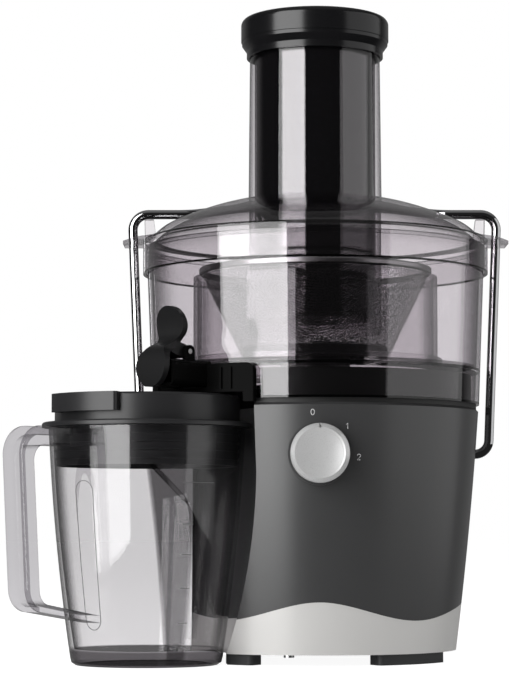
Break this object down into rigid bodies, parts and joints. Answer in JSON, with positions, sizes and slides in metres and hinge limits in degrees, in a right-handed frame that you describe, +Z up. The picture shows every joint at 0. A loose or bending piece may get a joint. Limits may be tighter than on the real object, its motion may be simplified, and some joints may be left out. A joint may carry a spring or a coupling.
{
  "type": "centrifugal juicer",
  "caption": "Tall centrifugal juicer: round motor base with a scooped side for the juice jug, clear bowls and domed lid, wide feed chute with pusher, wire locking bail, knob and spout lever.",
  "frame": {"origin": "centre of the whole machine's box, on the table", "axes": "+Z up the motor axis, +X to the right and +Y to the back as seen from the knob; the jug stands at -X"},
  "size_m": [0.3053, 0.2658, 0.41],
  "materials": {
    "dark_shell": "satin dark grey",
    "silver_band": "satin silver",
    "silver_knob": "satin silver",
    "black_plastic": "satin",
    "black_gloss": "polished",
    "rubber": "matte",
    "silicone": "soft matte",
    "smoke_clear": "clear, smoke tint",
    "jug_clear": "clear, faint grey tint",
    "chrome_rod": "polished",
    "steel": "fine brushed",
    "iron": "stacked laminations",
    "cast_frame": "as cast",
    "copper": "enamelled",
    "carbon": "matte carbon",
    "circuit_board": "lacquered"
  },
  "bodies": {
    "base": {"base_shell": "dark_shell", "base_band": "silver_band", "bottom_plate": "black_plastic", "feet": "rubber", "top_deck": "black_plastic", "case_screws": "steel", "bowl_gasket": "silicone", "bail_bushes": "black_plastic", "cord_gland": "rubber", "knob_bezel": "dark_shell", "speed_switch": "black_plastic", "control_board": "circuit_board", "interlock_switch": "black_plastic", "motor_stator": "iron", "field_coils": "copper", "motor_top_frame": "cast_frame", "motor_bottom_frame": "cast_frame", "upper_bearing": "steel", "lower_bearing": "steel", "motor_dampers": "rubber", "motor_screws": "steel", "brush_holders": "copper", "carbon_brushes": "carbon", "shaft_seal": "silicone", "pulp_bowl": "smoke_clear", "juice_bowl": "smoke_clear", "spout_nozzle": "black_plastic", "lever_pin": "steel", "spout_housing": "black_plastic", "feed_chute": "smoke_clear", "lid": "smoke_clear", "lid_seal": "silicone"},
    "drive": {"motor_shaft": "steel", "rotor_core": "iron", "rotor_windings": "copper", "commutator": "copper", "cooling_fan": "black_plastic", "drive_coupling": "black_plastic", "sieve_hub": "black_plastic", "sieve_base": "black_plastic", "sieve_mesh": "steel", "sieve_rim": "steel", "grater_disc": "steel"},
    "pusher": {"pusher_body": "black_gloss", "pusher_cap": "black_gloss"},
    "bail": {"bail": "chrome_rod"},
    "knob": {"knob": "silver_knob", "knob_spindle": "steel"},
    "lever": {"spout_lever": "black_plastic", "lever_pad": "silicone"},
    "jug": {"jug": "jug_clear", "jug_lid": "black_plastic", "froth_separator": "jug_clear"}
  },
  "joints": [
    {"name": "drive_spin", "type": "hinge", "parent": "base", "child": "drive", "pos_m": [0.0307, 0.0233, 0.1], "axis": [0, 0, 1], "continuous": true},
    {"name": "pusher_lift", "type": "slide", "parent": "base", "child": "pusher", "axis": [0, 0, 1], "range_m": [0, 0.165]},
    {"name": "bail_swing", "type": "hinge", "parent": "base", "child": "bail", "pos_m": [0.0307, 0.0383, 0.1295], "axis": [-1, 0, 0], "range_deg": [0, 100]},
    {"name": "knob_turn", "type": "hinge", "parent": "base", "child": "knob", "pos_m": [0.0307, -0.0797, 0.1262], "axis": [0, 1, 0], "range_deg": [0, 95]},
    {"name": "spout_lever_tilt", "type": "hinge", "parent": "base", "child": "lever", "pos_m": [-0.05415, -0.06155, 0.1875], "axis": [-0.7071, 0.7071, 0], "range_deg": [0, 32]},
    {"name": "jug_slide", "type": "slide", "parent": "base", "child": "jug", "axis": [-0.8601, -0.5101, 0], "range_m": [0, 0.16]}
  ]
}
